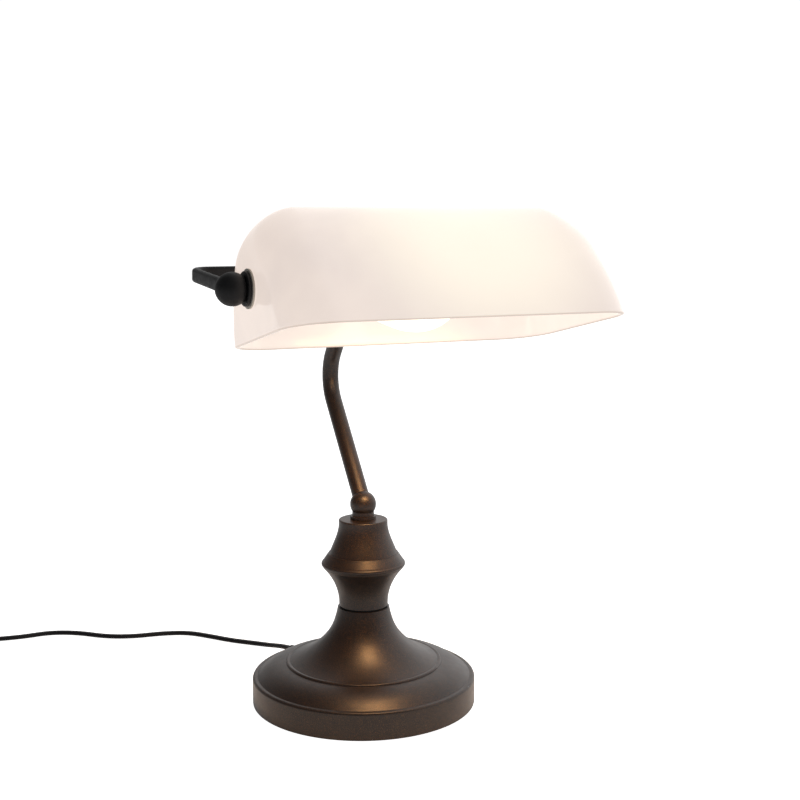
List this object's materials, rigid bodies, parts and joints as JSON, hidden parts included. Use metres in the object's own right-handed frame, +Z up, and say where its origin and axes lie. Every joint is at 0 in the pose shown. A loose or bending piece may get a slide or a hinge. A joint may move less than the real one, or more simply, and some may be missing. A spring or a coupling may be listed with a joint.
{
  "type": "banker desk lamp",
  "caption": "Desk lamp with a weighted round base, turned column, bent stem and flat-bar yoke that holds a tilting opal glass shade.",
  "frame": {"origin": "centre of the round base's underside, on the axis of the base and column", "axes": "+X along the shade's length, +Y from the shade towards the back of the base, where the cord leaves, +Z up"},
  "size_m": [0.4516, 0.4241, 0.3523],
  "materials": {
    "bronze_paint": "satin",
    "black_paint": "satin",
    "ballast": "matte",
    "steel": "satin",
    "felt": "matte",
    "gasket": "matte",
    "nylon": "satin",
    "opal_glass": "gloss",
    "bulb_glass": "gloss",
    "bulb_metal": "satin",
    "brass": "satin",
    "holder_plastic": "satin",
    "cord_jacket": "satin",
    "switch_plastic": "satin",
    "plug_plastic": "matte",
    "pin_plating": "gloss"
  },
  "bodies": {
    "stand": {"base_cover": "bronze_paint", "base_weight": "ballast", "base_plate": "steel", "plate_screws": "steel", "felt_pad": "felt", "centre_rod": "steel", "rod_washer": "steel", "rod_nut": "steel", "seat_ring": "gasket", "column": "bronze_paint", "neck_collar": "bronze_paint", "stem_ball": "bronze_paint", "stem": "bronze_paint", "stem_coupling": "black_paint", "yoke": "black_paint", "pivot_ball_left": "black_paint", "pivot_ball_right": "black_paint", "pivot_flange_left": "black_paint", "pivot_flange_right": "black_paint", "lock_nut_left": "steel", "lock_nut_right": "steel", "nipple_left": "steel", "nipple_right": "steel", "holder_cap": "holder_plastic", "holder_shell": "holder_plastic", "holder_core": "holder_plastic", "holder_contact": "brass", "holder_sleeve": "brass", "bulb_contact": "brass", "bulb_cap": "bulb_metal", "bulb_globe": "bulb_glass", "cord_relief": "cord_jacket", "cord_lead": "cord_jacket", "cord_coil": "cord_jacket", "cord_tail": "cord_jacket", "cord_end": "cord_jacket", "cord_tie": "cord_jacket", "inner_lead": "cord_jacket", "holder_lead": "cord_jacket", "cord_clamp": "holder_plastic", "switch_case_lower": "switch_plastic", "switch_case_upper": "switch_plastic", "case_screws": "steel", "plug_body": "plug_plastic", "plug_pins": "pin_plating"},
    "shade": {"shade_glass": "opal_glass", "outer_washer_left": "nylon", "outer_washer_right": "nylon", "inner_washer_left": "gasket", "inner_washer_right": "gasket"},
    "rocker": {"switch_rocker": "switch_plastic"}
  },
  "joints": [
    {"name": "shade_tilt", "type": "hinge", "parent": "stand", "child": "shade", "pos_m": [0, -0.0959, 0.3044], "axis": [1, 0, 0], "range_deg": [-45, 60]},
    {"name": "switch_rocker", "type": "hinge", "parent": "stand", "child": "rocker", "pos_m": [-0.3045, 0.15, 0.0156], "axis": [1, 0, 0], "range_deg": [-16, 0]}
  ]
}
